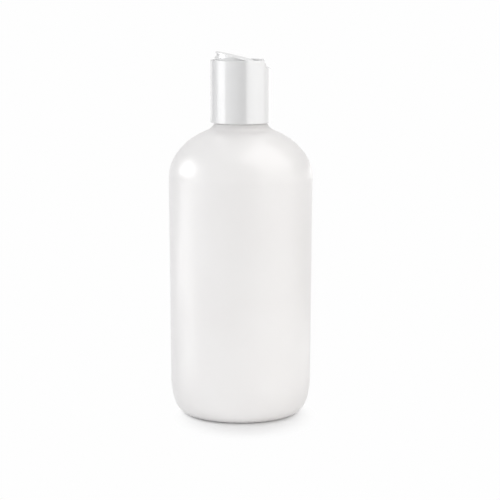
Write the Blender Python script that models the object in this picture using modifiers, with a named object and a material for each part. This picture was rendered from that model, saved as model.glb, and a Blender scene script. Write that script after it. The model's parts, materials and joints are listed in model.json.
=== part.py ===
"""Shampoo bottle with a press-disc screw cap, modelled in metres, standing on z = 0.

The bottle is blow-moulded, the cap body and its tilting disc are injection-moulded, and a foam
ring seals the cap to the neck. The disc is shown tilted open: its spout faces -X and the thumb
scoop faces +X.
"""

import math

import bmesh
import bpy

# Bottle body
BODY_RADIUS = 0.03225
BODY_TAPER = 0.00058
SHOULDER_HEIGHT = 0.1069
DOME_RISE = 0.02415
HEEL_WIDTH = 0.0073
HEEL_HEIGHT = 0.0167
FOOT_RING_WIDTH = 0.0022
PUSH_UP = 0.0030
BOTTLE_WALL = 0.0011

# Neck, measured up from the top of the dome
NECK_RADIUS = 0.0108
NECK_WALL = 0.0028
NECK_LENGTH = 0.01675
FLARE_WIDTH = 0.0045
FLARE_HEIGHT = 0.0060
LIP_ROUND = 0.0005

# Screw thread, shared by the neck and the cap
THREAD_PITCH = 0.003175
THREAD_DEPTH = 0.0011
THREAD_ROOT = 0.00175
THREAD_CREST = 0.00085
THREAD_DROP = 0.0022
THREAD_PLAY = 0.0003
THREAD_EMBED = 0.0004
NECK_TURNS = 1.5
CAP_TURNS = 1.25
RUN_OUT = math.radians(28)

# Foam seal ring
SEAT_GAP = 0.0003
SEAL_THICKNESS = 0.0010
SEAL_PLAY = 0.0004

# Cap body
CAP_WALL = 0.00134
CAP_DRAFT = 0.00007
SHOULDER_GAP = 0.0012
DECK_THICKNESS = 0.0013
WELL_DEPTH = 0.0090
RIM_WALL = 0.00099
RIM_ROUND = 0.00035
FOOT_ROUND = 0.0006
OUTLET_RADIUS = 0.0020
NOZZLE_WALL = 0.0010
NOZZLE_HEIGHT = 0.0046
SCOOP_RADIUS = 0.00415
SCOOP_REACH = 0.0030
BACK_WALL_INSET = 0.0014

# Tilting disc
DISC_PLAY = 0.0004
DISC_BACK_PLAY = 0.00065
DISC_SKIRT = 0.0050
DISC_PLATE = 0.0012
DISC_WALL = 0.0009
LIP_THICKNESS = 0.00065
LIP_EDGE = 0.0002
COVE_DEPTH = 0.00095
COVE_RADIUS = 0.0034
FLANGE_INSET = 0.0003
PIVOT_SETBACK = 0.0039
PIVOT_DROP = 0.0020
OPEN_ANGLE = math.radians(14.0)
TRUNNION_RADIUS = 0.0010
TRUNNION_REACH = 0.00045
PIVOT_PLAY = 0.00015
CHAMBER_WALL = 0.0008
CHAMBER_PLAY = 0.0003
CHAMBER_CLEAR = 0.0010
PLUG_GRIP = 0.0005
PLUG_TIP_RADIUS = 0.0012
DUCT_WIDTH = 0.0036
DUCT_HEIGHT = 0.0020
DUCT_DEPTH = 0.00215
DUCT_WALL = 0.0007
STOP_WIDTH = 0.0080
STOP_LENGTH = 0.0016

# Facets round a turned piece, a chamber and a small one, and in a full turn of thread
ROUND_STEPS = 48
CHAMBER_STEPS = 48
SMALL_STEPS = 24
THREAD_STEPS = 40

# Facets along the curves of the profiles
DOME_FACETS = 9
INNER_DOME_FACETS = 7
HEEL_FACETS = 8
INNER_HEEL_FACETS = 5
FLOOR_FACETS = 4
FLARE_FACETS = 5
COVE_FACETS = 6
RIM_FACETS = 3
LIP_FACETS = 2

# Heights and radii that follow from the sizes above
DOME_TOP = SHOULDER_HEIGHT + DOME_RISE
LIP_HEIGHT = DOME_TOP + NECK_LENGTH
SEAL_HEIGHT = LIP_HEIGHT + SEAT_GAP
DECK_HEIGHT = SEAL_HEIGHT + SEAL_THICKNESS + SEAT_GAP
RIM_HEIGHT = DECK_HEIGHT + DECK_THICKNESS + WELL_DEPTH
CAP_LENGTH = RIM_HEIGHT - DOME_TOP - SHOULDER_GAP
NECK_BORE = NECK_RADIUS - NECK_WALL
CAP_BORE = NECK_RADIUS + THREAD_DEPTH + THREAD_PLAY
CAP_RADIUS = CAP_BORE + CAP_WALL
WELL_RADIUS = CAP_RADIUS - CAP_DRAFT - RIM_WALL
BACK_WALL = WELL_RADIUS - BACK_WALL_INSET
DISC_RADIUS = WELL_RADIUS - DISC_PLAY
DISC_BACK = BACK_WALL - DISC_BACK_PLAY
NOZZLE_RADIUS = OUTLET_RADIUS + NOZZLE_WALL
NOZZLE_TOP = -WELL_DEPTH + NOZZLE_HEIGHT
THREAD_FOOT = LIP_HEIGHT - THREAD_DROP - NECK_TURNS * THREAD_PITCH

# The chamber hangs round the nozzle, set over by half of what its foot swings as the disc tilts
CHAMBER_DEPTH = WELL_DEPTH - CHAMBER_CLEAR
CHAMBER_SHIFT = (CHAMBER_DEPTH - PIVOT_DROP) * math.sin(OPEN_ANGLE) / 2
CHAMBER_RADIUS = NOZZLE_RADIUS + CHAMBER_SHIFT + CHAMBER_PLAY

# Colours and roughness
WHITE_HDPE = (0.84, 0.84, 0.83)
HDPE_ROUGHNESS = 0.42
WHITE_PP = (0.88, 0.88, 0.88)
PP_ROUGHNESS = 0.16
GREY_FOAM = (0.72, 0.74, 0.76)
FOAM_ROUGHNESS = 0.8

# Drawn size of the empties that mark an axis, and how near two points are one
AXIS_MARK = 0.01
MERGE_DISTANCE = 0.000001


def clear_scene():
    for obj in list(bpy.data.objects):
        bpy.data.objects.remove(obj, do_unlink=True)


def add_collection(name):
    collection = bpy.data.collections.new(name)
    bpy.context.scene.collection.children.link(collection)
    return collection


def add_material(name, colour, roughness):
    material = bpy.data.materials.new(name)
    material.use_nodes = True
    shader = material.node_tree.nodes["Principled BSDF"]
    shader.inputs["Base Color"].default_value = (*colour, 1.0)
    shader.inputs["Roughness"].default_value = roughness
    shader.inputs["Metallic"].default_value = 0.0
    return material


def add_empty(name, parent, location, rotation=(0.0, 0.0, 0.0)):
    empty = bpy.data.objects.new(name, None)
    empty.empty_display_size = AXIS_MARK
    empty.parent = parent
    empty.location = location
    empty.rotation_euler = rotation
    PIECES.objects.link(empty)
    return empty


def add_object(name, bm, parent, location, material=None):
    """A piece when it has a material, and otherwise a hidden helper for a Boolean."""
    mesh = bpy.data.meshes.new(name)
    bm.to_mesh(mesh)
    bm.free()
    obj = bpy.data.objects.new(name, mesh)
    obj.parent = parent
    obj.location = location
    if material:
        mesh.materials.append(material)
        PIECES.objects.link(obj)
    else:
        obj.hide_render = True
        obj.display_type = "WIRE"
        HELPERS.objects.link(obj)
    return obj


def arc(centre_r, centre_z, radius_r, radius_z, start, end, count):
    """Points on an ellipse about (centre_r, centre_z), from one angle in degrees to another."""
    points = []
    for step in range(count + 1):
        angle = math.radians(start + (end - start) * step / count)
        point = (centre_r + radius_r * math.cos(angle), centre_z + radius_z * math.sin(angle))
        points.append(point)
    return points


def add_turned(name, profile, closed, steps, parent, location, material=None):
    """A profile of (radius, height) points, turned about the object's Z axis."""
    bm = bmesh.new()
    verts = [bm.verts.new((radius, 0.0, height)) for radius, height in profile]
    for first, second in zip(verts, verts[1:]):
        bm.edges.new((first, second))
    if closed:
        bm.edges.new((verts[-1], verts[0]))
    obj = add_object(name, bm, parent, location, material)
    screw = obj.modifiers.new("turn", "SCREW")
    screw.axis = "Z"
    screw.steps = steps
    screw.render_steps = steps
    screw.use_merge_vertices = True
    screw.merge_threshold = MERGE_DISTANCE
    screw.use_smooth_shade = True
    return obj


def add_cross_bar(name, radius, length, steps, parent, location):
    """A round bar that lies along Y."""
    bm = bmesh.new()
    bmesh.ops.create_cone(
        bm, cap_ends=True, segments=steps, radius1=radius, radius2=radius, depth=length
    )
    obj = add_object(name, bm, parent, location)
    obj.rotation_euler = (math.radians(90), 0.0, 0.0)
    return obj


def add_box(name, low, high, parent, location):
    bm = bmesh.new()
    bmesh.ops.create_cube(bm, size=1.0)
    for vert in bm.verts:
        for axis in range(3):
            vert.co[axis] = high[axis] if vert.co[axis] > 0 else low[axis]
    return add_object(name, bm, parent, location)


def add_segment(name, radius, chord, low, high, parent, location):
    """The slice of a round bar that lies beyond x = chord, between two heights."""
    bm = bmesh.new()
    bmesh.ops.create_cone(
        bm, cap_ends=True, segments=ROUND_STEPS, radius1=radius, radius2=radius, depth=high - low
    )
    bmesh.ops.translate(bm, verts=bm.verts, vec=(0.0, 0.0, (low + high) / 2))
    sliced = bmesh.ops.bisect_plane(
        bm,
        geom=bm.verts[:] + bm.edges[:] + bm.faces[:],
        plane_co=(chord, 0.0, 0.0),
        plane_no=(-1.0, 0.0, 0.0),
        clear_outer=True,
    )
    rim = [item for item in sliced["geom_cut"] if isinstance(item, bmesh.types.BMEdge)]
    bmesh.ops.holes_fill(bm, edges=rim)
    bmesh.ops.recalc_face_normals(bm, faces=bm.faces)
    return add_object(name, bm, parent, location)


def add_thread(name, wall, crest, turns, foot, parent, location):
    """A helical ridge that stands from the wall radius to the crest radius, with faded ends."""
    outward = 1.0 if crest > wall else -1.0
    buried = wall - outward * THREAD_EMBED
    faded = wall - outward * THREAD_EMBED / 2
    sweep = turns * 2 * math.pi
    count = round(turns * THREAD_STEPS)
    bm = bmesh.new()
    rings = []
    for step in range(count + 1):
        angle = sweep * step / count
        rise = min(angle, sweep - angle, RUN_OUT) / RUN_OUT
        top = faded + (crest - faded) * rise
        height = foot + THREAD_PITCH * angle / (2 * math.pi)
        section = (
            (buried, -THREAD_ROOT / 2),
            (top, -THREAD_CREST / 2),
            (top, THREAD_CREST / 2),
            (buried, THREAD_ROOT / 2),
        )
        ring = []
        for radius, offset in section:
            point = (radius * math.cos(angle), radius * math.sin(angle), height + offset)
            ring.append(bm.verts.new(point))
        rings.append(ring)
    for first, second in zip(rings, rings[1:]):
        for here in range(4):
            there = (here + 1) % 4
            bm.faces.new((first[here], first[there], second[there], second[here]))
    bm.faces.new(rings[0])
    bm.faces.new(rings[-1])
    bmesh.ops.recalc_face_normals(bm, faces=bm.faces)
    return add_object(name, bm, parent, location)


def join(obj, other):
    boolean = obj.modifiers.new("join " + other.name, "BOOLEAN")
    boolean.operation = "UNION"
    boolean.object = other


def cut(obj, other):
    boolean = obj.modifiers.new("cut " + other.name, "BOOLEAN")
    boolean.operation = "DIFFERENCE"
    boolean.object = other


def neck_flare():
    """The curve that leaves the dome along its slope and turns up into the neck."""
    start_r = NECK_RADIUS + FLARE_WIDTH
    rise = math.sqrt(1 - (start_r / BODY_RADIUS) ** 2)
    start_z = SHOULDER_HEIGHT + DOME_RISE * rise
    slope = DOME_RISE * start_r / (BODY_RADIUS**2 * rise)
    corner_z = start_z + slope * FLARE_WIDTH
    points = []
    for step in range(FLARE_FACETS + 1):
        share = step / FLARE_FACETS
        radius = NECK_RADIUS + FLARE_WIDTH * (1 - share) ** 2
        height = start_z * (1 - share) ** 2 + corner_z * 2 * share * (1 - share)
        height += (corner_z + FLARE_HEIGHT) * share**2
        points.append((radius, height))
    return points


def body_profile():
    """The inside from the middle of the floor up to the lip, then the outside down to the foot."""
    foot_radius = BODY_RADIUS - BODY_TAPER
    ring_radius = foot_radius - HEEL_WIDTH
    push_radius = ring_radius - FOOT_RING_WIDTH
    flare = neck_flare()
    dome_end = math.degrees(math.acos(flare[0][0] / BODY_RADIUS))
    inside_radius = BODY_RADIUS - BOTTLE_WALL
    inside_end = math.degrees(math.acos(NECK_BORE / inside_radius))
    inner_lip = NECK_BORE + LIP_ROUND
    outer_lip = NECK_RADIUS - LIP_ROUND
    lip_corner = LIP_HEIGHT - LIP_ROUND

    inner_heel = HEEL_WIDTH - BOTTLE_WALL
    inner_rise = HEEL_HEIGHT - BOTTLE_WALL
    inner_dome = DOME_RISE - BOTTLE_WALL

    points = arc(0, BOTTLE_WALL, push_radius, PUSH_UP, 90, 0, FLOOR_FACETS)
    points += arc(ring_radius, HEEL_HEIGHT, inner_heel, inner_rise, -90, 0, INNER_HEEL_FACETS)
    points += arc(0, SHOULDER_HEIGHT, inside_radius, inner_dome, 0, inside_end, INNER_DOME_FACETS)
    points += arc(inner_lip, lip_corner, LIP_ROUND, LIP_ROUND, 180, 90, LIP_FACETS)
    points += arc(outer_lip, lip_corner, LIP_ROUND, LIP_ROUND, 90, 0, LIP_FACETS)
    points += flare[::-1]
    points += arc(0, SHOULDER_HEIGHT, BODY_RADIUS, DOME_RISE, dome_end, 0, DOME_FACETS)[1:]
    points += arc(ring_radius, HEEL_HEIGHT, HEEL_WIDTH, HEEL_HEIGHT, 0, -90, HEEL_FACETS)
    points += arc(0, 0, push_radius, PUSH_UP, 0, 90, FLOOR_FACETS)
    return points


def build_bottle():
    material = add_material("white HDPE", WHITE_HDPE, HDPE_ROUGHNESS)
    bottle = add_turned("bottle", body_profile(), False, ROUND_STEPS, None, (0, 0, 0), material)
    crest = NECK_RADIUS + THREAD_DEPTH
    thread = add_thread(
        "neck_thread", NECK_RADIUS, crest, NECK_TURNS, THREAD_FOOT, None, (0, 0, 0)
    )
    join(bottle, thread)
    return bottle


def build_seal_ring():
    material = add_material("foam liner", GREY_FOAM, FOAM_ROUGHNESS)
    outer = CAP_BORE - SEAL_PLAY
    profile = [
        (outer, SEAL_THICKNESS),
        (outer, 0.0),
        (NECK_BORE, 0.0),
        (NECK_BORE, SEAL_THICKNESS),
    ]
    place = (0.0, 0.0, SEAL_HEIGHT)
    return add_turned("seal_ring", profile, True, ROUND_STEPS, None, place, material)


def cap_profile():
    """Heights are measured from the top of the rim."""
    rim_centre = CAP_RADIUS - CAP_DRAFT - RIM_ROUND
    foot = -CAP_LENGTH
    foot_centre = CAP_RADIUS - FOOT_ROUND
    deck_top = -WELL_DEPTH
    deck_under = -WELL_DEPTH - DECK_THICKNESS
    profile = arc(rim_centre, -RIM_ROUND, RIM_ROUND, RIM_ROUND, 90, 0, RIM_FACETS)
    profile += arc(foot_centre, foot + FOOT_ROUND, FOOT_ROUND, FOOT_ROUND, 0, -90, RIM_FACETS)
    profile += [
        (CAP_BORE, foot),
        (CAP_BORE, deck_under),
        (OUTLET_RADIUS, deck_under),
        (OUTLET_RADIUS, NOZZLE_TOP),
        (NOZZLE_RADIUS, NOZZLE_TOP),
        (NOZZLE_RADIUS, deck_top),
        (WELL_RADIUS, deck_top),
        (WELL_RADIUS, 0.0),
    ]
    return profile


def disc_stop_height():
    """How far below the rim the disc's rear foot lies when the disc is open."""
    reach = DISC_BACK - PIVOT_SETBACK
    below = DISC_SKIRT - PIVOT_DROP
    return -PIVOT_DROP - reach * math.sin(OPEN_ANGLE) - below * math.cos(OPEN_ANGLE)


def trunnion_tip():
    """How far from the middle plane a trunnion ends, inside its socket in the well's wall."""
    return math.sqrt(WELL_RADIUS**2 - PIVOT_SETBACK**2) + TRUNNION_REACH


def build_cap_body(cap_axis):
    material = add_material("white PP cap", WHITE_PP, PP_ROUGHNESS)
    origin = (0.0, 0.0, 0.0)
    cap = add_turned("cap_body", cap_profile(), True, ROUND_STEPS, cap_axis, origin, material)

    thread_foot = THREAD_FOOT - THREAD_PITCH / 2 - RIM_HEIGHT
    crest = CAP_BORE - THREAD_DEPTH
    thread = add_thread("cap_thread", CAP_BORE, crest, CAP_TURNS, thread_foot, cap_axis, origin)
    join(cap, thread)

    mid_wall = (WELL_RADIUS + CAP_RADIUS) / 2
    deck_middle = -WELL_DEPTH - DECK_THICKNESS / 2
    back = add_segment(
        "well_back", mid_wall, BACK_WALL, deck_middle, -RIM_ROUND, cap_axis, origin
    )
    join(cap, back)

    stop_top = disc_stop_height() - SEAT_GAP
    stop_low = (BACK_WALL - STOP_LENGTH, -STOP_WIDTH / 2, deck_middle)
    stop_high = ((BACK_WALL + mid_wall) / 2, STOP_WIDTH / 2, stop_top)
    stop = add_box("disc_stop", stop_low, stop_high, cap_axis, origin)
    join(cap, stop)

    scoop_place = (CAP_RADIUS - SCOOP_REACH + SCOOP_RADIUS, 0.0, 0.0)
    scoop_length = 3 * CAP_RADIUS
    scoop = add_cross_bar(
        "thumb_scoop", SCOOP_RADIUS, scoop_length, ROUND_STEPS, cap_axis, scoop_place
    )
    cut(cap, scoop)

    socket_radius = TRUNNION_RADIUS + PIVOT_PLAY
    socket_length = 2 * (trunnion_tip() + PIVOT_PLAY)
    socket_place = (PIVOT_SETBACK, 0.0, -PIVOT_DROP)
    sockets = add_cross_bar(
        "pivot_sockets", socket_radius, socket_length, SMALL_STEPS, cap_axis, socket_place
    )
    cut(cap, sockets)
    return cap


def front_radius(depth):
    """The disc's largest radius at a depth, so that its front wall swings clear of the well."""
    swing = DISC_RADIUS + PIVOT_SETBACK
    return math.sqrt(swing**2 - (depth - PIVOT_DROP) ** 2) - PIVOT_SETBACK


def disc_profile():
    """A shallow cup with a thin lip and a cove under it; heights are measured from its top."""
    waist = DISC_RADIUS - COVE_DEPTH
    inside = waist - DISC_WALL
    waist_depth = LIP_THICKNESS + COVE_DEPTH
    foot_radius = front_radius(DISC_SKIRT) - FLANGE_INSET
    cove_centre = waist + COVE_RADIUS
    cove_top = 180 - math.degrees(math.asin(COVE_DEPTH / COVE_RADIUS))
    flange_radius = DISC_RADIUS - FLANGE_INSET
    cove_foot = 180 + math.degrees(math.acos((cove_centre - flange_radius) / COVE_RADIUS))
    edge_centre = DISC_RADIUS - LIP_EDGE
    profile = [(0.0, 0.0)]
    profile += arc(edge_centre, -LIP_EDGE, LIP_EDGE, LIP_EDGE, 90, 0, LIP_FACETS)
    profile += [(DISC_RADIUS, -LIP_THICKNESS)]
    profile += arc(
        cove_centre, -waist_depth, COVE_RADIUS, COVE_RADIUS, cove_top, cove_foot, COVE_FACETS
    )
    profile += [
        (foot_radius, -DISC_SKIRT),
        (inside, -DISC_SKIRT),
        (inside, -DISC_PLATE),
        (0.0, -DISC_PLATE),
    ]
    return profile


def build_flip_disc(disc_pivot):
    material = add_material("white PP disc", WHITE_PP, PP_ROUGHNESS)
    place = (-PIVOT_SETBACK, 0.0, PIVOT_DROP)
    disc = add_turned("flip_disc", disc_profile(), False, ROUND_STEPS, disc_pivot, place, material)
    plate_middle = -DISC_PLATE / 2
    mid_wall = DISC_RADIUS - COVE_DEPTH - DISC_WALL / 2

    web_front = DISC_BACK - DISC_WALL
    web = add_segment(
        "rear_web", mid_wall, web_front, -DISC_SKIRT, plate_middle, disc_pivot, place
    )
    join(disc, web)

    chamber_outer = CHAMBER_RADIUS + CHAMBER_WALL
    chamber_profile = [
        (chamber_outer, plate_middle),
        (chamber_outer, -CHAMBER_DEPTH),
        (CHAMBER_RADIUS, -CHAMBER_DEPTH),
        (CHAMBER_RADIUS, plate_middle),
    ]
    chamber_place = (CHAMBER_SHIFT - PIVOT_SETBACK, 0.0, PIVOT_DROP)
    chamber = add_turned(
        "chamber", chamber_profile, True, CHAMBER_STEPS, disc_pivot, chamber_place
    )
    join(disc, chamber)

    duct_inner = CHAMBER_SHIFT - CHAMBER_RADIUS - CHAMBER_WALL / 2
    duct_side = DUCT_WIDTH / 2 + DUCT_WALL
    duct_floor = -DUCT_DEPTH - DUCT_HEIGHT / 2 - DUCT_WALL
    duct_front = -math.sqrt(mid_wall**2 - duct_side**2)
    duct = add_box(
        "duct",
        (duct_front, -duct_side, duct_floor),
        (duct_inner, duct_side, plate_middle),
        disc_pivot,
        place,
    )
    join(disc, duct)

    past_edge = 2 * DISC_RADIUS
    tunnel = add_box(
        "duct_bore",
        (-past_edge, -DUCT_WIDTH / 2, -DUCT_DEPTH - DUCT_HEIGHT / 2),
        (CHAMBER_SHIFT, DUCT_WIDTH / 2, -DUCT_DEPTH + DUCT_HEIGHT / 2),
        disc_pivot,
        place,
    )
    cut(disc, tunnel)

    back = add_box(
        "disc_back",
        (DISC_BACK, -past_edge, -past_edge),
        (past_edge, past_edge, past_edge),
        disc_pivot,
        place,
    )
    cut(disc, back)

    plug_seat = NOZZLE_TOP + SEAT_GAP
    plug_radius = OUTLET_RADIUS + NOZZLE_WALL / 2
    plug_profile = [
        (0.0, plate_middle),
        (plug_radius, plate_middle),
        (plug_radius, plug_seat),
        (OUTLET_RADIUS - SEAT_GAP, plug_seat),
        (PLUG_TIP_RADIUS, NOZZLE_TOP - PLUG_GRIP),
        (0.0, NOZZLE_TOP - PLUG_GRIP),
    ]
    plug = add_turned("plug", plug_profile, False, SMALL_STEPS, disc_pivot, place)
    join(disc, plug)

    root = math.sqrt(mid_wall**2 - PIVOT_SETBACK**2)
    tip = trunnion_tip()
    for side, name in ((-1, "near_trunnion"), (1, "far_trunnion")):
        trunnion_place = (0.0, side * (tip + root) / 2, 0.0)
        trunnion = add_cross_bar(
            name, TRUNNION_RADIUS, tip - root, SMALL_STEPS, disc_pivot, trunnion_place
        )
        join(disc, trunnion)
    return disc


clear_scene()
PIECES = add_collection("shampoo_bottle")
HELPERS = add_collection("shampoo_bottle_helpers")
build_bottle()
build_seal_ring()
axis_empty = add_empty("cap_axis", None, (0.0, 0.0, RIM_HEIGHT))
build_cap_body(axis_empty)
pivot_place = (PIVOT_SETBACK, 0.0, -PIVOT_DROP)
pivot_empty = add_empty("disc_pivot", axis_empty, pivot_place, (0.0, OPEN_ANGLE, 0.0))
build_flip_disc(pivot_empty)
print("neck lip at", LIP_HEIGHT, "cap rim at", RIM_HEIGHT, "cap radius", CAP_RADIUS)
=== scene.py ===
import json
import math

import bmesh
import bpy
from mathutils import Matrix, Vector


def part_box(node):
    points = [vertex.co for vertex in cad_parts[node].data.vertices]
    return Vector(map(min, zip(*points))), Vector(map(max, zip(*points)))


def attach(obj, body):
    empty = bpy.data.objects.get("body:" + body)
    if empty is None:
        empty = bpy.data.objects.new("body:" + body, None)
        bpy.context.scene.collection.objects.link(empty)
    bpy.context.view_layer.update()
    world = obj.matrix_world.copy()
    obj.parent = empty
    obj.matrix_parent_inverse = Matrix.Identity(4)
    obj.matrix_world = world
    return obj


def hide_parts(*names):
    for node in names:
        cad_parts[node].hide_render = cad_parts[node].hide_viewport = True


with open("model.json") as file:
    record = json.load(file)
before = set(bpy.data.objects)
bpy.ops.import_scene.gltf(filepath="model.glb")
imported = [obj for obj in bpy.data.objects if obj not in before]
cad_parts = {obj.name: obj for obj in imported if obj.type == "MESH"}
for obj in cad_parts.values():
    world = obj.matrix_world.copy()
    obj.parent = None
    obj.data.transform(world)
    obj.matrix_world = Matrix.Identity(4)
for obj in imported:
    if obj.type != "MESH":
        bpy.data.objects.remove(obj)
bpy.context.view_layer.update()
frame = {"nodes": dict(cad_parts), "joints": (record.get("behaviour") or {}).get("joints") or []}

mm = 0.001
fullTurn = 2 * math.pi
touching = 0.001 * mm
sliver = 0.002 * mm
creaseAngle = math.radians(38)
cornerSteps = 5
edgeSteps = 6
bottleLow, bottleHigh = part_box("bottle")
capLow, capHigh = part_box("cap_body")
linerLow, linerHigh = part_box("seal_ring")
tiltJoint = next(joint for joint in frame["joints"] if joint["name"] == "disc_tilt")
print("frame loaded,", len(frame["nodes"]), "solids")


def linear(hexColour):
    values = [int(hexColour[place:place + 2], 16) / 255 for place in (1, 3, 5)]
    light = [v / 12.92 if v <= 0.04045 else ((v + 0.055) / 1.055) ** 2.4 for v in values]
    return (*light, 1.0)


def addNode(tree, kind, settings=None, links=None):
    node = tree.nodes.new(kind)
    for name, value in (settings or {}).items():
        if hasattr(node, str(name)):
            setattr(node, name, value)
        else:
            node.inputs[name].default_value = value
    for name, socket in (links or {}).items():
        tree.links.new(socket, node.inputs[name])
    return node


def arc(centre, radii, start, end, steps):
    # corners of an ellipse in the outline's plane, angles in degrees from the outside
    points = []
    for step in range(steps + 1):
        angle = math.radians(start + (end - start) * step / steps)
        points.append((centre[0] + radii[0] * math.cos(angle), centre[1] + radii[1] * math.sin(angle)))
    return points


def heelCurve(centre, radii, fullness, steps):
    # from the wall down to the foot ring, fuller than an ellipse
    points = []
    for step in range(steps + 1):
        angle = math.radians(90 * step / steps)
        out = max(0.0, math.cos(angle)) ** (2 / fullness)
        down = math.sin(angle) ** (2 / fullness)
        points.append((centre[0] + radii[0] * out, centre[1] - radii[1] * down))
    return points


def spinOutline(corners, steps, closed=False):
    # corners are (radius, height) or (radius, height, rounding), all in mm
    bm = bmesh.new()
    verts = [bm.verts.new((corner[0] * mm, 0, corner[1] * mm)) for corner in corners]
    for first, second in zip(verts, verts[1:]):
        bm.edges.new((first, second))
    if closed:
        bm.edges.new((verts[-1], verts[0]))
    for vert, corner in zip(verts, corners):
        if len(corner) > 2:
            bmesh.ops.bevel(
                bm, geom=[vert], offset=corner[2] * mm, affect="VERTICES",
                segments=cornerSteps, profile=0.5, material=-1,
            )
    bmesh.ops.spin(
        bm, geom=bm.verts[:] + bm.edges[:], cent=(0, 0, 0), axis=(0, 0, 1),
        angle=fullTurn, steps=steps, use_merge=True,
    )
    bmesh.ops.remove_doubles(bm, verts=bm.verts, dist=touching)
    bmesh.ops.recalc_face_normals(bm, faces=bm.faces)
    return bm


def spinThread(shape, wall, crest, foot, turns):
    # one trapezoid swept up the helix, its ends faded into the wall
    outward = 1 if crest > wall else -1
    buried = wall - outward * shape["embed"]
    steps = round(turns * shape["stepsPerTurn"])
    sweep = turns * fullTurn
    bm = bmesh.new()
    corners = (
        (buried, -shape["root"] / 2), (crest, -shape["crest"] / 2),
        (crest, shape["crest"] / 2), (buried, shape["root"] / 2),
    )
    section = bm.faces.new([bm.verts.new((r * mm, 0, (foot + z) * mm)) for r, z in corners])
    bmesh.ops.spin(
        bm, geom=[section], cent=(0, 0, 0), axis=(0, 0, 1), angle=sweep,
        dvec=(0, 0, shape["pitch"] * mm * turns / steps), steps=steps,
    )
    faded = (wall - outward * shape["embed"] / 2) * mm
    for vert in bm.verts:
        radius = math.hypot(vert.co.x, vert.co.y)
        onCrest = abs(radius - crest * mm) < shape["embed"] / 2 * mm
        if not onCrest:
            continue
        climbed = (vert.co.z / mm - foot) / shape["pitch"] * fullTurn
        share = min(1.0, max(0.0, min(climbed, sweep - climbed)) / shape["runOut"])
        scale = (faded + (radius - faded) * share) / radius
        vert.co.x *= scale
        vert.co.y *= scale
    bmesh.ops.recalc_face_normals(bm, faces=bm.faces)
    return bm


def roundBar(radius, length, steps, place, turned):
    # upright, or turned to lie along y
    bm = bmesh.new()
    bmesh.ops.create_cone(
        bm, cap_ends=True, segments=steps, radius1=radius * mm, radius2=radius * mm, depth=length * mm
    )
    spot = Matrix.Translation(Vector(place) * mm)
    turn = Matrix.Rotation(math.radians(90), 4, "X") if turned else Matrix.Identity(4)
    bmesh.ops.transform(bm, matrix=spot @ turn, verts=bm.verts)
    return bm


def barSlice(radius, chord, low, high, steps):
    # what a round bar keeps beyond x = chord
    bm = roundBar(radius, high - low, steps, (0, 0, (low + high) / 2), False)
    cut = bmesh.ops.bisect_plane(
        bm, geom=bm.verts[:] + bm.edges[:] + bm.faces[:], plane_co=(chord * mm, 0, 0),
        plane_no=(-1, 0, 0), clear_outer=True,
    )
    edges = [item for item in cut["geom_cut"] if isinstance(item, bmesh.types.BMEdge)]
    bmesh.ops.holes_fill(bm, edges=edges)
    bmesh.ops.recalc_face_normals(bm, faces=bm.faces)
    return bm


def block(low, high, rounding=0):
    bm = bmesh.new()
    bmesh.ops.create_cube(bm, size=1)
    size = [(high[axis] - low[axis]) * mm for axis in range(3)]
    middle = [(high[axis] + low[axis]) / 2 * mm for axis in range(3)]
    bmesh.ops.scale(bm, vec=size, verts=bm.verts)
    bmesh.ops.translate(bm, vec=middle, verts=bm.verts)
    if rounding:
        along = [edge for edge in bm.edges if abs(edge.verts[0].co.x - edge.verts[1].co.x) > mm]
        bmesh.ops.bevel(
            bm, geom=along, offset=rounding * mm, affect="EDGES",
            segments=edgeSteps, profile=0.5, material=-1,
        )
    return bm


def asObject(name, bm):
    mesh = bpy.data.meshes.new(name)
    bm.to_mesh(mesh)
    bm.free()
    obj = bpy.data.objects.new(name, mesh)
    bpy.context.scene.collection.objects.link(obj)
    return obj


def carve(obj, bm, operation):
    # a Boolean made real at once, and its tool thrown away
    tool = asObject(obj.name + "_tool", bm)
    boolean = obj.modifiers.new("carve", "BOOLEAN")
    boolean.operation = operation
    boolean.object = tool
    graph = bpy.context.evaluated_depsgraph_get()
    carved = bpy.data.meshes.new_from_object(obj.evaluated_get(graph))
    obj.modifiers.clear()
    obj.data = carved
    bpy.data.objects.remove(tool)
    # slivers along the cut are closed up
    clean = bmesh.new()
    clean.from_mesh(carved)
    bmesh.ops.remove_doubles(clean, verts=clean.verts, dist=sliver)
    bmesh.ops.dissolve_degenerate(clean, edges=clean.edges, dist=sliver)
    clean.to_mesh(carved)
    clean.free()


def finishPiece(obj, material, body, node):
    obj.data.materials.clear()
    obj.data.materials.append(material)
    obj.data.shade_smooth()
    obj.data.set_sharp_from_angle(angle=creaseAngle)
    # large faces lead, so that straight reflections stay straight
    weighted = obj.modifiers.new("even shading", "WEIGHTED_NORMAL")
    weighted.weight = 60
    weighted.keep_sharp = True
    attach(obj, body)
    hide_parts(node)
    print("made", obj.name, len(obj.data.polygons), "faces")
    return obj


# materials

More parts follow.
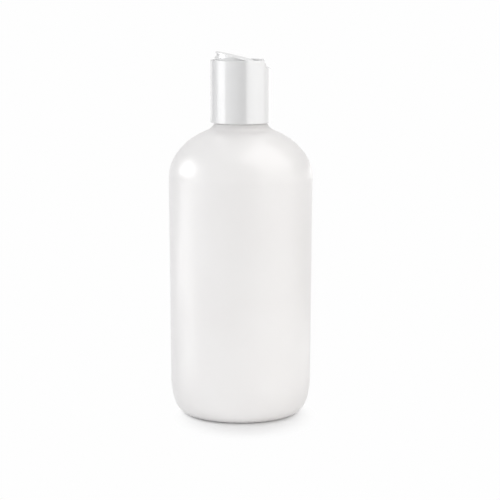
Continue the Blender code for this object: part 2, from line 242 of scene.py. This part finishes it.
def satinHdpe():
    # HDPE blown in a blasted mould: a satin skin, faint clouds in the white, slow waves in the wall
    look = {
        "white": "#EBEAE9", "cloud": "#E6E4E3", "cloudSize": 26, "ior": 1.54, "roughness": (0.26, 0.32),
        "wave": 30, "waveDepth": 0.05, "grain": 0.7, "grainDepth": 0.003,
    }
    material = bpy.data.materials.new("satinHdpe")
    material.use_nodes = True
    tree = material.node_tree
    shader = tree.nodes["Principled BSDF"]
    shader.inputs["IOR"].default_value = look["ior"]
    place = addNode(tree, "ShaderNodeTexCoord")
    spot = place.outputs["Object"]
    clouds = addNode(
        tree, "ShaderNodeTexNoise", {"Scale": 1 / (look["cloudSize"] * mm), "Detail": 2.0}, {"Vector": spot}
    )
    tint = addNode(
        tree, "ShaderNodeMix",
        {"data_type": "RGBA", 6: linear(look["white"]), 7: linear(look["cloud"])},
        {0: clouds.outputs["Fac"]},
    )
    tree.links.new(tint.outputs[2], shader.inputs["Base Color"])
    least, most = look["roughness"]
    gloss = addNode(
        tree, "ShaderNodeMapRange", {"To Min": least, "To Max": most}, {"Value": clouds.outputs["Fac"]}
    )
    tree.links.new(gloss.outputs["Result"], shader.inputs["Roughness"])
    waves = addNode(
        tree, "ShaderNodeTexNoise", {"Scale": 1 / (look["wave"] * mm), "Detail": 0.0}, {"Vector": spot}
    )
    grain = addNode(
        tree, "ShaderNodeTexNoise", {"Scale": 1 / (look["grain"] * mm), "Detail": 2.0}, {"Vector": spot}
    )
    slow = addNode(
        tree, "ShaderNodeBump", {"Distance": look["waveDepth"] * mm}, {"Height": waves.outputs["Fac"]}
    )
    fine = addNode(
        tree, "ShaderNodeBump", {"Distance": look["grainDepth"] * mm},
        {"Height": grain.outputs["Fac"], "Normal": slow.outputs["Normal"]},
    )
    tree.links.new(fine.outputs["Normal"], shader.inputs["Normal"])
    return material


def polishedPp(name, white, shade):
    # PP from a polished mould: a clear gloss with faint flow marks that haze it here and there
    look = {
        "flow": 9, "flowStretch": 0.35, "ior": 1.49, "roughness": (0.3, 0.36),
        "coatRoughness": 0.06, "coatIor": 1.8, "ripple": 6, "rippleDepth": 0.003,
    }
    material = bpy.data.materials.new(name)
    material.use_nodes = True
    tree = material.node_tree
    shader = tree.nodes["Principled BSDF"]
    shader.inputs["IOR"].default_value = look["ior"]
    shader.inputs["Coat Weight"].default_value = 1.0
    shader.inputs["Coat Roughness"].default_value = look["coatRoughness"]
    shader.inputs["Coat IOR"].default_value = look["coatIor"]
    place = addNode(tree, "ShaderNodeTexCoord")
    spot = place.outputs["Object"]
    stretched = addNode(
        tree, "ShaderNodeMapping", {"Scale": (1, 1, look["flowStretch"])}, {"Vector": spot}
    )
    flow = addNode(
        tree, "ShaderNodeTexNoise", {"Scale": 1 / (look["flow"] * mm), "Detail": 2.0},
        {"Vector": stretched.outputs["Vector"]},
    )
    tint = addNode(
        tree, "ShaderNodeMix",
        {"data_type": "RGBA", 6: linear(white), 7: linear(shade)},
        {0: flow.outputs["Fac"]},
    )
    tree.links.new(tint.outputs[2], shader.inputs["Base Color"])
    least, most = look["roughness"]
    gloss = addNode(
        tree, "ShaderNodeMapRange", {"To Min": least, "To Max": most}, {"Value": flow.outputs["Fac"]}
    )
    tree.links.new(gloss.outputs["Result"], shader.inputs["Roughness"])
    ripple = addNode(
        tree, "ShaderNodeTexNoise", {"Scale": 1 / (look["ripple"] * mm), "Detail": 1.0}, {"Vector": spot}
    )
    bump = addNode(
        tree, "ShaderNodeBump", {"Distance": look["rippleDepth"] * mm}, {"Height": ripple.outputs["Fac"]}
    )
    tree.links.new(bump.outputs["Normal"], shader.inputs["Normal"])
    tree.links.new(bump.outputs["Normal"], shader.inputs["Coat Normal"])
    return material


def closedCellFoam():
    # sheet foam, punched: a dull pale grey full of tiny closed cells
    look = {"wall": "#DADCDF", "pitShade": "#C9CCD0", "cellSize": 0.35, "cellDepth": 0.06, "roughness": 0.85}
    material = bpy.data.materials.new("closedCellFoam")
    material.use_nodes = True
    tree = material.node_tree
    shader = tree.nodes["Principled BSDF"]
    shader.inputs["Roughness"].default_value = look["roughness"]
    place = addNode(tree, "ShaderNodeTexCoord")
    cells = addNode(
        tree, "ShaderNodeTexVoronoi", {"Scale": 1 / (look["cellSize"] * mm)},
        {"Vector": place.outputs["Object"]},
    )
    # painted shade: each cell's middle, which the bump sinks, is coloured darker than the walls between the
    # cells
    tint = addNode(
        tree, "ShaderNodeMix",
        {"data_type": "RGBA", 6: linear(look["pitShade"]), 7: linear(look["wall"])},
        {0: cells.outputs["Distance"]},
    )
    tree.links.new(tint.outputs[2], shader.inputs["Base Color"])
    bump = addNode(
        tree, "ShaderNodeBump", {"Distance": look["cellDepth"] * mm}, {"Height": cells.outputs["Distance"]}
    )
    tree.links.new(bump.outputs["Normal"], shader.inputs["Normal"])
    return material


bottleSkin = satinHdpe()
capSkin = polishedPp("polishedPpCap", "#DADADA", "#D6D6D6")
discSkin = polishedPp("polishedPpDisc", "#DFDFDF", "#DBDBDB")
linerSkin = closedCellFoam()
print("materials ready")

# screw thread, shared by neck and cap, mm
thread = {
    "pitch": 3.175, "depth": 1.1, "root": 1.75, "crest": 0.85, "drop": 2.2, "play": 0.3, "embed": 0.4,
    "neckTurns": 1.5, "capTurns": 1.25, "runOut": math.radians(28), "stepsPerTurn": 72,
}

# bottle, mm
bottle = {
    "radius": bottleHigh.x / mm, "lip": bottleHigh.z / mm, "taper": 0.58,
    "shoulder": 106.9, "domeRise": 24.15, "heelWidth": 7.3, "heelHeight": 16.7, "heelFullness": 2.2,
    "footRing": 2.2, "pushUp": 3.0, "wall": 1.1,
    "neckRadius": 10.8, "neckWall": 2.8, "flareWidth": 4.5, "flareHeight": 6.0, "lipRound": 0.5,
    "seamWidth": 0.3, "seamHeight": 0.05, "pinchHeight": 0.12, "pinchClear": 0.3, "ringClear": 1.0,
    "steps": 192, "floorSteps": 12, "heelSteps": 32, "innerHeelSteps": 20, "domeSteps": 40,
    "innerDomeSteps": 28, "flareSteps": 16,
}
neckBore = bottle["neckRadius"] - bottle["neckWall"]
threadFoot = bottle["lip"] - thread["drop"] - thread["neckTurns"] * thread["pitch"]


def neckFlare(shape):
    # leaves the dome along its slope and turns up into the neck
    startRadius = shape["neckRadius"] + shape["flareWidth"]
    rise = math.sqrt(1 - (startRadius / shape["radius"]) ** 2)
    start = shape["shoulder"] + shape["domeRise"] * rise
    slope = shape["domeRise"] * startRadius / (shape["radius"] ** 2 * rise)
    corner = start + slope * shape["flareWidth"]
    points = []
    for step in range(shape["flareSteps"] + 1):
        share = step / shape["flareSteps"]
        radius = shape["neckRadius"] + shape["flareWidth"] * (1 - share) ** 2
        height = start * (1 - share) ** 2 + corner * 2 * share * (1 - share)
        points.append((radius, height + (corner + shape["flareHeight"]) * share ** 2))
    return points


def bottleOutline(shape):
    ring = shape["radius"] - shape["taper"] - shape["heelWidth"]
    push = ring - shape["footRing"]
    wall = shape["wall"]
    inside = shape["radius"] - wall
    flare = neckFlare(shape)
    domeEnd = math.degrees(math.acos(flare[0][0] / shape["radius"]))
    insideEnd = math.degrees(math.acos(neckBore / inside))
    heel = (shape["heelWidth"], shape["heelHeight"])
    innerHeel = (heel[0] - wall, heel[1] - wall)
    dome = (shape["radius"], shape["domeRise"])
    innerDome = (inside, shape["domeRise"] - wall)
    points = arc((0, wall), (push, shape["pushUp"]), 90, 0, shape["floorSteps"])
    points += arc((ring, heel[1]), innerHeel, -90, 0, shape["innerHeelSteps"])
    points += arc((0, shape["shoulder"]), innerDome, 0, insideEnd, shape["innerDomeSteps"])
    points += [(neckBore, shape["lip"], shape["lipRound"])]
    points += [(shape["neckRadius"], shape["lip"], shape["lipRound"])]
    points += flare[::-1]
    points += arc((0, shape["shoulder"]), dome, domeEnd, 0, shape["domeSteps"])[1:]
    points += heelCurve((ring, heel[1]), heel, shape["heelFullness"], shape["heelSteps"])
    points += arc((0, 0), (push, shape["pushUp"]), 0, 90, shape["floorSteps"])
    return points


def addMouldSeam(bm, shape):
    # parting line up both sides, and the pinch-off across the base, clear of the foot ring
    for side in (-1, 1):
        bmesh.ops.bisect_plane(
            bm, geom=bm.verts[:] + bm.edges[:] + bm.faces[:],
            plane_co=(0, side * shape["seamWidth"] / 2 * mm, 0), plane_no=(0, 1, 0),
        )
    bm.normal_update()
    centre = Vector((0, 0, shape["lip"] / 2 * mm))
    neckFoot = (shape["shoulder"] + shape["domeRise"]) * mm
    footRing = (shape["radius"] - shape["taper"] - shape["heelWidth"]) * mm
    for vert in bm.verts:
        outside = vert.normal.dot(vert.co - centre) > 0
        if abs(vert.co.y) > touching or not outside or vert.co.z > neckFoot:
            continue
        if abs(vert.co.x) > footRing + shape["ringClear"] * mm:
            vert.co += vert.normal * shape["seamHeight"] * mm
        elif vert.co.z > shape["pinchClear"] * mm:
            vert.co += vert.normal * shape["pinchHeight"] * mm


def makeBottle(shape):
    bm = spinOutline(bottleOutline(shape), shape["steps"])
    addMouldSeam(bm, shape)
    obj = asObject("bottleShell", bm)
    crest = shape["neckRadius"] + thread["depth"]
    carve(obj, spinThread(thread, shape["neckRadius"], crest, threadFoot, thread["neckTurns"]), "UNION")
    return finishPiece(obj, bottleSkin, "bottle", "bottle")


makeBottle(bottle)

# foam liner, mm
liner = {
    "outer": linerHigh.x / mm, "low": linerLow.z / mm, "high": linerHigh.z / mm, "edge": 0.15, "steps": 128,
}


def makeLiner(shape):
    corners = [
        (shape["outer"], shape["high"], shape["edge"]), (shape["outer"], shape["low"], shape["edge"]),
        (neckBore, shape["low"], shape["edge"]), (neckBore, shape["high"], shape["edge"]),
    ]
    obj = asObject("foamLiner", spinOutline(corners, shape["steps"], closed=True))
    return finishPiece(obj, linerSkin, "seal", "seal_ring")


makeLiner(liner)

# cap body, mm
cap = {
    "radius": capHigh.x / mm, "rim": capHigh.z / mm, "footDrop": 0.35,
    "bore": bottle["neckRadius"] + thread["depth"] + thread["play"],
    "draft": 0.07, "deck": 1.3, "wellDepth": 9.0, "rimWall": 0.99, "backInset": 1.4,
    "outlet": 2.0, "nozzleWall": 1.0, "nozzleHeight": 4.6,
    "rimRound": 0.2, "footRound": 0.2, "mouthRound": 0.25, "boreRound": 0.3, "outletRound": 0.2,
    "nozzleRound": 0.25, "nozzleFootRound": 0.3, "wellRound": 0.4,
    "scoopRadius": 4.15, "scoopReach": 3.0, "scoopLength": 50,
    "stopWidth": 8.0, "stopLength": 1.6, "stopDrop": 6.79,
    "steps": 144, "scoopSteps": 128, "socketSteps": 32,
}
cap["foot"] = capLow.z / mm - cap["footDrop"]
cap["well"] = cap["radius"] - cap["draft"] - cap["rimWall"]
cap["backWall"] = cap["well"] - cap["backInset"]

# tilting disc, mm from the top of the disc
disc = {
    "play": 0.4, "backPlay": 0.65, "skirt": 5.0, "plate": 1.2, "wall": 0.9,
    "lip": 0.65, "lipEdge": 0.2, "edge": 0.15, "plateRound": 0.2,
    "coveDepth": 0.55, "coveRadius": 3.4, "flangeInset": 0.1, "foot": 11.5,
    "pivotRadius": 1.0, "pivotReach": 0.45, "pivotPlay": 0.15,
    "chamberRadius": 4.026, "chamberWall": 0.8, "chamberShift": 0.726, "chamberDepth": 8.0,
    "plugGrip": 0.5, "plugTip": 1.2, "seatGap": 0.3,
    "ductWidth": 3.6, "ductHeight": 2.0, "ductDepth": 2.15, "ductWall": 0.7, "ductRound": 0.8,
    "steps": 144, "coveSteps": 16, "chamberSteps": 64, "plugSteps": 48, "pivotSteps": 32,
}
disc["radius"] = cap["well"] - disc["play"]
disc["back"] = cap["backWall"] - disc["backPlay"]
pivotX = tiltJoint["pos_m"][0] / mm
pivotDrop = cap["rim"] - tiltJoint["pos_m"][2] / mm
openAngle = -math.radians(tiltJoint["range_deg"][0])
pivotTip = math.sqrt(cap["well"] ** 2 - pivotX ** 2) + disc["pivotReach"]


def makeCap(shape):
    rim, foot = shape["rim"], shape["foot"]
    deckTop = rim - shape["wellDepth"]
    deckUnder = deckTop - shape["deck"]
    nozzle = shape["outlet"] + shape["nozzleWall"]
    nozzleTop = deckTop + shape["nozzleHeight"]
    corners = [
        (shape["radius"] - shape["draft"], rim, shape["rimRound"]),
        (shape["radius"], foot, shape["footRound"]),
        (shape["bore"], foot, shape["mouthRound"]),
        (shape["bore"], deckUnder, shape["boreRound"]),
        (shape["outlet"], deckUnder, shape["outletRound"]),
        (shape["outlet"], nozzleTop, shape["nozzleRound"]),
        (nozzle, nozzleTop, shape["nozzleRound"]),
        (nozzle, deckTop, shape["nozzleFootRound"]),
        (shape["well"], deckTop, shape["wellRound"]),
        (shape["well"], rim, shape["rimRound"]),
    ]
    obj = asObject("capShell", spinOutline(corners, shape["steps"], closed=True))
    crest = shape["bore"] - thread["depth"]
    ridge = spinThread(thread, shape["bore"], crest, threadFoot - thread["pitch"] / 2, thread["capTurns"])
    carve(obj, ridge, "UNION")
    midWall = (shape["well"] + shape["radius"]) / 2
    midDeck = deckTop - shape["deck"] / 2
    back = barSlice(midWall, shape["backWall"], midDeck, rim - shape["rimRound"], shape["steps"])
    carve(obj, back, "UNION")
    half = shape["stopWidth"] / 2
    stop = block(
        (shape["backWall"] - shape["stopLength"], -half, midDeck),
        ((shape["backWall"] + midWall) / 2, half, rim - shape["stopDrop"]),
    )
    carve(obj, stop, "UNION")
    scoopX = shape["radius"] - shape["scoopReach"] + shape["scoopRadius"]
    scoop = roundBar(
        shape["scoopRadius"], shape["scoopLength"], shape["scoopSteps"], (scoopX, 0, rim), True
    )
    carve(obj, scoop, "DIFFERENCE")
    # one bar across makes both pivot sockets
    reach = 2 * (pivotTip + disc["pivotPlay"])
    sockets = roundBar(
        disc["pivotRadius"] + disc["pivotPlay"], reach, shape["socketSteps"],
        (pivotX, 0, rim - pivotDrop), True,
    )
    carve(obj, sockets, "DIFFERENCE")
    return finishPiece(obj, capSkin, "cap", "cap_body")


makeCap(cap)


def discOutline(shape):
    waist = shape["radius"] - shape["coveDepth"]
    inside = waist - shape["wall"]
    coveX = waist + shape["coveRadius"]
    coveTop = 180 - math.degrees(math.asin(shape["coveDepth"] / shape["coveRadius"]))
    flange = shape["radius"] - shape["flangeInset"]
    coveFoot = 180 + math.degrees(math.acos((coveX - flange) / shape["coveRadius"]))
    coveCentre = (coveX, -shape["lip"] - shape["coveDepth"])
    corners = [(0, 0), (shape["radius"], 0, shape["lipEdge"])]
    corners += [(shape["radius"], -shape["lip"], shape["edge"])]
    corners += arc(coveCentre, (shape["coveRadius"],) * 2, coveTop, coveFoot, shape["coveSteps"])
    corners += [(shape["foot"], -shape["skirt"], shape["edge"]), (inside, -shape["skirt"], shape["edge"])]
    corners += [(inside, -shape["plate"], shape["plateRound"]), (0, -shape["plate"])]
    return corners


def makeDisc(shape):
    obj = asObject("pressDisc", spinOutline(discOutline(shape), shape["steps"]))
    midPlate = -shape["plate"] / 2
    midWall = shape["radius"] - shape["coveDepth"] - shape["wall"] / 2
    nozzleTop = -cap["wellDepth"] + cap["nozzleHeight"]
    web = barSlice(midWall, shape["back"] - shape["wall"], -shape["skirt"], midPlate, shape["steps"])
    carve(obj, web, "UNION")

    outer = shape["chamberRadius"] + shape["chamberWall"]
    chamber = spinOutline(
        [(outer, midPlate), (outer, -shape["chamberDepth"]),
         (shape["chamberRadius"], -shape["chamberDepth"]), (shape["chamberRadius"], midPlate)],
        shape["chamberSteps"], closed=True,
    )
    bmesh.ops.translate(chamber, vec=(shape["chamberShift"] * mm, 0, 0), verts=chamber.verts)
    carve(obj, chamber, "UNION")

    side = shape["ductWidth"] / 2 + shape["ductWall"]
    top = -shape["ductDepth"] + shape["ductHeight"] / 2
    floor = -shape["ductDepth"] - shape["ductHeight"] / 2
    ductFront = -math.sqrt(midWall ** 2 - side ** 2)
    ductEnd = shape["chamberShift"] - shape["chamberRadius"] - shape["chamberWall"] / 2
    carve(obj, block((ductFront, -side, floor - shape["ductWall"]), (ductEnd, side, midPlate)), "UNION")
    past = 2 * shape["radius"]
    bore = block(
        (-past, -shape["ductWidth"] / 2, floor),
        (shape["chamberShift"], shape["ductWidth"] / 2, top), shape["ductRound"],
    )
    carve(obj, bore, "DIFFERENCE")
    carve(obj, block((shape["back"], -past, -past), (past, past, past)), "DIFFERENCE")

    seat = nozzleTop + shape["seatGap"]
    plugRadius = cap["outlet"] + cap["nozzleWall"] / 2
    plug = spinOutline(
        [(0, midPlate), (plugRadius, midPlate), (plugRadius, seat),
         (cap["outlet"] - shape["seatGap"], seat), (shape["plugTip"], nozzleTop - shape["plugGrip"]),
         (0, nozzleTop - shape["plugGrip"])],
        shape["plugSteps"],
    )
    carve(obj, plug, "UNION")

    root = math.sqrt(midWall ** 2 - pivotX ** 2)
    for sign in (-1, 1):
        middle = (pivotX, sign * (pivotTip + root) / 2, -pivotDrop)
        pivot = roundBar(shape["pivotRadius"], pivotTip - root, shape["pivotSteps"], middle, True)
        carve(obj, pivot, "UNION")

    toPivot = Matrix.Translation((-pivotX * mm, 0, pivotDrop * mm))
    tilted = Matrix.Rotation(openAngle, 4, "Y")
    obj.data.transform(Matrix.Translation(tiltJoint["pos_m"]) @ tilted @ toPivot)
    return finishPiece(obj, discSkin, "disc", "flip_disc")


makeDisc(disc)

# stage: white table, soft boxes, camera
stage = {
    "size": 30.0, "paper": "#EEEEEE", "white": "#FEFEFE", "roomLight": 0.3,
    # zones round the foot, mm, where the floor's painted shadow fades into white
    "contact": {"centre": (0, 0), "squeeze": 1.12, "near": 27, "far": 31},
    "shade": {"centre": (2, -12), "squeeze": 1.35, "near": 15, "far": 44},
}


def seenRays(tree):
    # 1 for rays from the camera, in gloss and through clear things, 0 for light
    path = addNode(tree, "ShaderNodeLightPath")
    seen = addNode(
        tree, "ShaderNodeMath", {"operation": "MAXIMUM"},
        {0: path.outputs["Is Camera Ray"], 1: path.outputs["Is Glossy Ray"]},
    )
    seen = addNode(
        tree, "ShaderNodeMath", {"operation": "MAXIMUM"},
        {0: seen.outputs[0], 1: path.outputs["Is Transmission Ray"]},
    )
    return seen.outputs[0]


def makeFloor(setup):
    bm = bmesh.new()
    bmesh.ops.create_grid(bm, x_segments=2, y_segments=2, size=setup["size"] / 2)
    floor = asObject("tableTop", bm)
    material = bpy.data.materials.new("matteWhiteTable")
    material.use_nodes = True
    tree = material.node_tree
    tree.nodes.remove(tree.nodes["Principled BSDF"])
    out = tree.nodes["Material Output"]
    paper = addNode(tree, "ShaderNodeBsdfDiffuse", {"Color": linear(setup["paper"])})
    white = addNode(tree, "ShaderNodeEmission", {"Color": linear(setup["white"]), "Strength": 1.0})
    place = addNode(tree, "ShaderNodeTexCoord")
    # white takes over a little way out from the foot ring, and later on the camera's side of it; inside
    # these zones the lit paper shows with its real shadow, and the fade from the paper's grey to white
    # around the foot is painted shadow
    amount = seenRays(tree)
    for zone in (setup["contact"], setup["shade"]):
        middle = (-zone["centre"][0] * zone["squeeze"] * mm, -zone["centre"][1] * mm, 0)
        spot = addNode(
            tree, "ShaderNodeMapping", {"Location": middle, "Scale": (zone["squeeze"], 1, 1)},
            {"Vector": place.outputs["Object"]},
        )
        distance = addNode(
            tree, "ShaderNodeVectorMath", {"operation": "LENGTH"}, {0: spot.outputs["Vector"]}
        )
        near, far = zone["near"] * mm, zone["far"] * mm
        share = addNode(
            tree, "ShaderNodeMapRange",
            {"interpolation_type": "SMOOTHSTEP", "From Min": near, "From Max": far},
            {"Value": distance.outputs["Value"]},
        )
        product = addNode(
            tree, "ShaderNodeMath", {"operation": "MULTIPLY"}, {0: amount, 1: share.outputs["Result"]}
        )
        amount = product.outputs[0]
    mix = addNode(
        tree, "ShaderNodeMixShader", None,
        {0: amount, 1: paper.outputs[0], 2: white.outputs[0]},
    )
    tree.links.new(mix.outputs[0], out.inputs["Surface"])
    floor.data.materials.append(material)


def makeWorld(setup):
    # white wherever it is seen or mirrored, a little under that as light
    world = bpy.data.worlds.new("studioRoom")
    bpy.context.scene.world = world
    world.use_nodes = True
    tree = world.node_tree
    back = tree.nodes["Background"]
    out = tree.nodes["World Output"]
    back.inputs["Color"].default_value = (1, 1, 1, 1)
    back.inputs["Strength"].default_value = setup["roomLight"]
    white = addNode(tree, "ShaderNodeBackground", {"Color": (1, 1, 1, 1), "Strength": 1.0})
    mix = addNode(
        tree, "ShaderNodeMixShader", None,
        {0: seenRays(tree), 1: back.outputs[0], 2: white.outputs[0]},
    )
    tree.links.new(mix.outputs[0], out.inputs["Surface"])


def addPanel(name, setup, onlyGloss):
    # azimuth in degrees from the camera side, positive to the right
    # aim is a height on the bottle's axis, or straight up or down
    data = bpy.data.lights.new(name, "AREA")
    data.shape = "RECTANGLE"
    data.size, data.size_y = setup["size"]
    data.energy = setup["radiance"] * math.pi * data.size * data.size_y
    data.color = linear(setup.get("colour", "#FFFFFF"))[:3]
    lamp = bpy.data.objects.new(name, data)
    bpy.context.scene.collection.objects.link(lamp)
    angle = math.radians(setup["azimuth"])
    across, back = setup["distance"] * math.sin(angle), -setup["distance"] * math.cos(angle)
    lamp.location = (across, back, setup["height"])
    if setup["aim"] == "up":
        lamp.rotation_euler = (math.pi, 0, angle)
    elif setup["aim"] != "down":
        toAxis = Vector((0, 0, setup["aim"])) - lamp.location
        lamp.rotation_euler = toAxis.to_track_quat("-Z", "Y").to_euler()
    lamp.visible_camera = False
    lamp.visible_diffuse = not onlyGloss
    lamp.visible_glossy = onlyGloss


# soft boxes that show only in gloss, m
softBoxes = {
    "leftHigh": {
        "azimuth": -99, "distance": 0.9, "height": 0.42, "aim": 0.42, "size": (0.55, 0.44),
        "radiance": 5.3,
    },
    "leftFar": {
        "azimuth": -99, "distance": 0.6, "height": 0.002, "aim": "up", "size": (0.3, 0.6),
        "radiance": 2.2,
    },
    "leftNear": {
        "azimuth": -86, "distance": 0.195, "height": 0.002, "aim": "up", "size": (0.07, 0.21),
        "radiance": 1.2,
    },
    "leftTall": {
        "azimuth": -75, "distance": 1.15, "height": 0.33, "aim": 0.33, "size": (0.55, 0.34),
        "radiance": 0.8,
    },
    "rightFar": {
        "azimuth": 62, "distance": 0.45, "height": 0.002, "aim": "up", "size": (0.4, 0.8),
        "radiance": 0.6,
    },
    "rightLow": {
        "azimuth": 62, "distance": 1.15, "height": 0.31, "aim": 0.31, "size": (1.9, 0.3),
        "radiance": 1.35,
    },
    "rightHigh": {
        "azimuth": 70, "distance": 0.74, "height": 1.06, "aim": 0.12, "size": (1.4, 1.4),
        "radiance": 2.1,
    },
    "topCard": {
        "azimuth": 180, "distance": 0.76, "height": 1.3, "aim": "down", "size": (0.8, 0.7),
        "radiance": 1.8,
    },
}

# fills that only light the matte side of things, m
fills = {
    "overhead": {
        "azimuth": 0, "distance": 0.05, "height": 1.3, "aim": 0, "size": (1.2, 1.2),
        "radiance": 1.44,
    },
    "floorCard": {
        "azimuth": 0, "distance": 0.22, "height": 0.002, "aim": "up", "size": (0.6, 0.3),
        "radiance": 0.05,
    },
    "footCard": {
        "azimuth": 0, "distance": 0.06, "height": 0.0005, "aim": "up", "size": (0.14, 0.06),
        "radiance": 0.14,
    },
    "frontLow": {
        "azimuth": -6, "distance": 2.2, "height": 0.45, "aim": 0.1, "size": (2.0, 0.8),
        "radiance": 3.6,
    },
    "leftFill": {
        "azimuth": -80, "distance": 0.9, "height": 0.36, "aim": 0.1, "size": (0.7, 0.7),
        "radiance": 1.5, "colour": "#FAFBFF",
    },
    "rightFill": {
        "azimuth": 80, "distance": 0.9, "height": 0.36, "aim": 0.1, "size": (0.7, 0.7),
        "radiance": 1.75, "colour": "#FFFCFA",
    },
    "backFill": {
        "azimuth": 176, "distance": 1.0, "height": 0.9, "aim": 0.08, "size": (1.2, 1.0),
        "radiance": 0.8,
    },
}

# bands of cloth that only gloss sees: how bright each is by azimuth, which is what cap and disc mirror
cloths = {
    "ringCloth": {
        "radius": 1.2, "low": 0.001, "high": 0.15, "steps": 96, "peak": 3.4,
        "levels": (
            (-180, 0.95), (-162, 0.95), (-158, 1.2), (-142, 1.2), (-132, 0.65), (-105, 0.65), (-90, 2.7),
            (-76, 3.3), (-62.5, 3.3), (-60, 1.65), (3, 0.1), (19.5, 0.1), (20.5, 1.2), (34, 2.3), (60, 2.5),
            (98, 2.1), (107, 1.4), (132, 1.5), (142, 2.0), (158, 2.0), (162, 0.95), (180, 0.95),
        ),
    },
    "backCloth": {
        "radius": 1.25, "low": 0.1, "high": 0.7, "steps": 32, "peak": 1.0,
        "levels": ((130, 0.8), (230, 0.8)),
    },
}


def hangCloth(name, setup):
    first, last = setup["levels"][0][0], setup["levels"][-1][0]
    bm = bmesh.new()
    foot = bm.verts.new((0, -setup["radius"], setup["low"]))
    top = bm.verts.new((0, -setup["radius"], setup["high"]))
    edge = bm.edges.new((foot, top))
    turn = Matrix.Rotation(math.radians(first), 3, "Z")
    bmesh.ops.rotate(bm, cent=(0, 0, 0), matrix=turn, verts=bm.verts)
    bmesh.ops.spin(
        bm, geom=[foot, top, edge], cent=(0, 0, 0), axis=(0, 0, 1), angle=math.radians(last - first),
        steps=setup["steps"], use_merge=last - first == 360,
    )
    cloth = asObject(name, bm)
    material = bpy.data.materials.new(name)
    material.use_nodes = True
    tree = material.node_tree
    tree.nodes.remove(tree.nodes["Principled BSDF"])
    place = addNode(tree, "ShaderNodeTexCoord")
    # turned so that the angle's jump, at half a turn, falls between the last level and the first
    turned = addNode(
        tree, "ShaderNodeMapping", {"Rotation": (0, 0, -math.radians((first + last) / 2))},
        {"Vector": place.outputs["Object"]},
    )
    across = addNode(tree, "ShaderNodeSeparateXYZ", None, {0: turned.outputs["Vector"]})
    forward = addNode(tree, "ShaderNodeMath", {"operation": "MULTIPLY", 1: -1.0}, {0: across.outputs["Y"]})
    angle = addNode(
        tree, "ShaderNodeMath", {"operation": "ARCTAN2"}, {0: across.outputs["X"], 1: forward.outputs[0]}
    )
    half = math.radians(last - first) / 2
    share = addNode(
        tree, "ShaderNodeMapRange", {"From Min": -half, "From Max": half}, {"Value": angle.outputs[0]}
    )
    ramp = addNode(tree, "ShaderNodeValToRGB", None, {"Fac": share.outputs["Result"]})
    stops = ramp.color_ramp.elements
    stops.remove(stops[-1])
    for azimuth, level in setup["levels"]:
        grey = level / setup["peak"]
        stop = stops[0] if azimuth == first else stops.new((azimuth - first) / (last - first))
        stop.color = (grey, grey, grey, 1)
    glow = addNode(
        tree, "ShaderNodeEmission", {"Strength": setup["peak"]}, {"Color": ramp.outputs["Color"]}
    )
    tree.links.new(glow.outputs[0], tree.nodes["Material Output"].inputs["Surface"])
    cloth.data.materials.append(material)
    cloth.visible_camera = False
    cloth.visible_diffuse = False
    cloth.visible_shadow = False
    cloth.visible_transmission = False


makeFloor(stage)
for clothName, clothSetup in cloths.items():
    hangCloth(clothName, clothSetup)
makeWorld(stage)
for lampName, lampSetup in softBoxes.items():
    addPanel(lampName, lampSetup, True)
for lampName, lampSetup in fills.items():
    addPanel(lampName, lampSetup, False)


def makeCamera():
    view = {
        "lens": 129.6, "sensor": 36, "back": 0.8047, "height": 0.1968, "pitch": 81.325, "shift": 0.0187,
    }
    data = bpy.data.cameras.new("camera")
    data.lens = view["lens"]
    data.sensor_width = view["sensor"]
    data.shift_x = view["shift"]
    camera = bpy.data.objects.new("camera", data)
    bpy.context.scene.collection.objects.link(camera)
    camera.location = (0, -view["back"], view["height"])
    camera.rotation_euler = (math.radians(view["pitch"]), 0, 0)
    bpy.context.scene.camera = camera


makeCamera()
bpy.context.scene.view_settings.view_transform = "Standard"
print("stage ready")
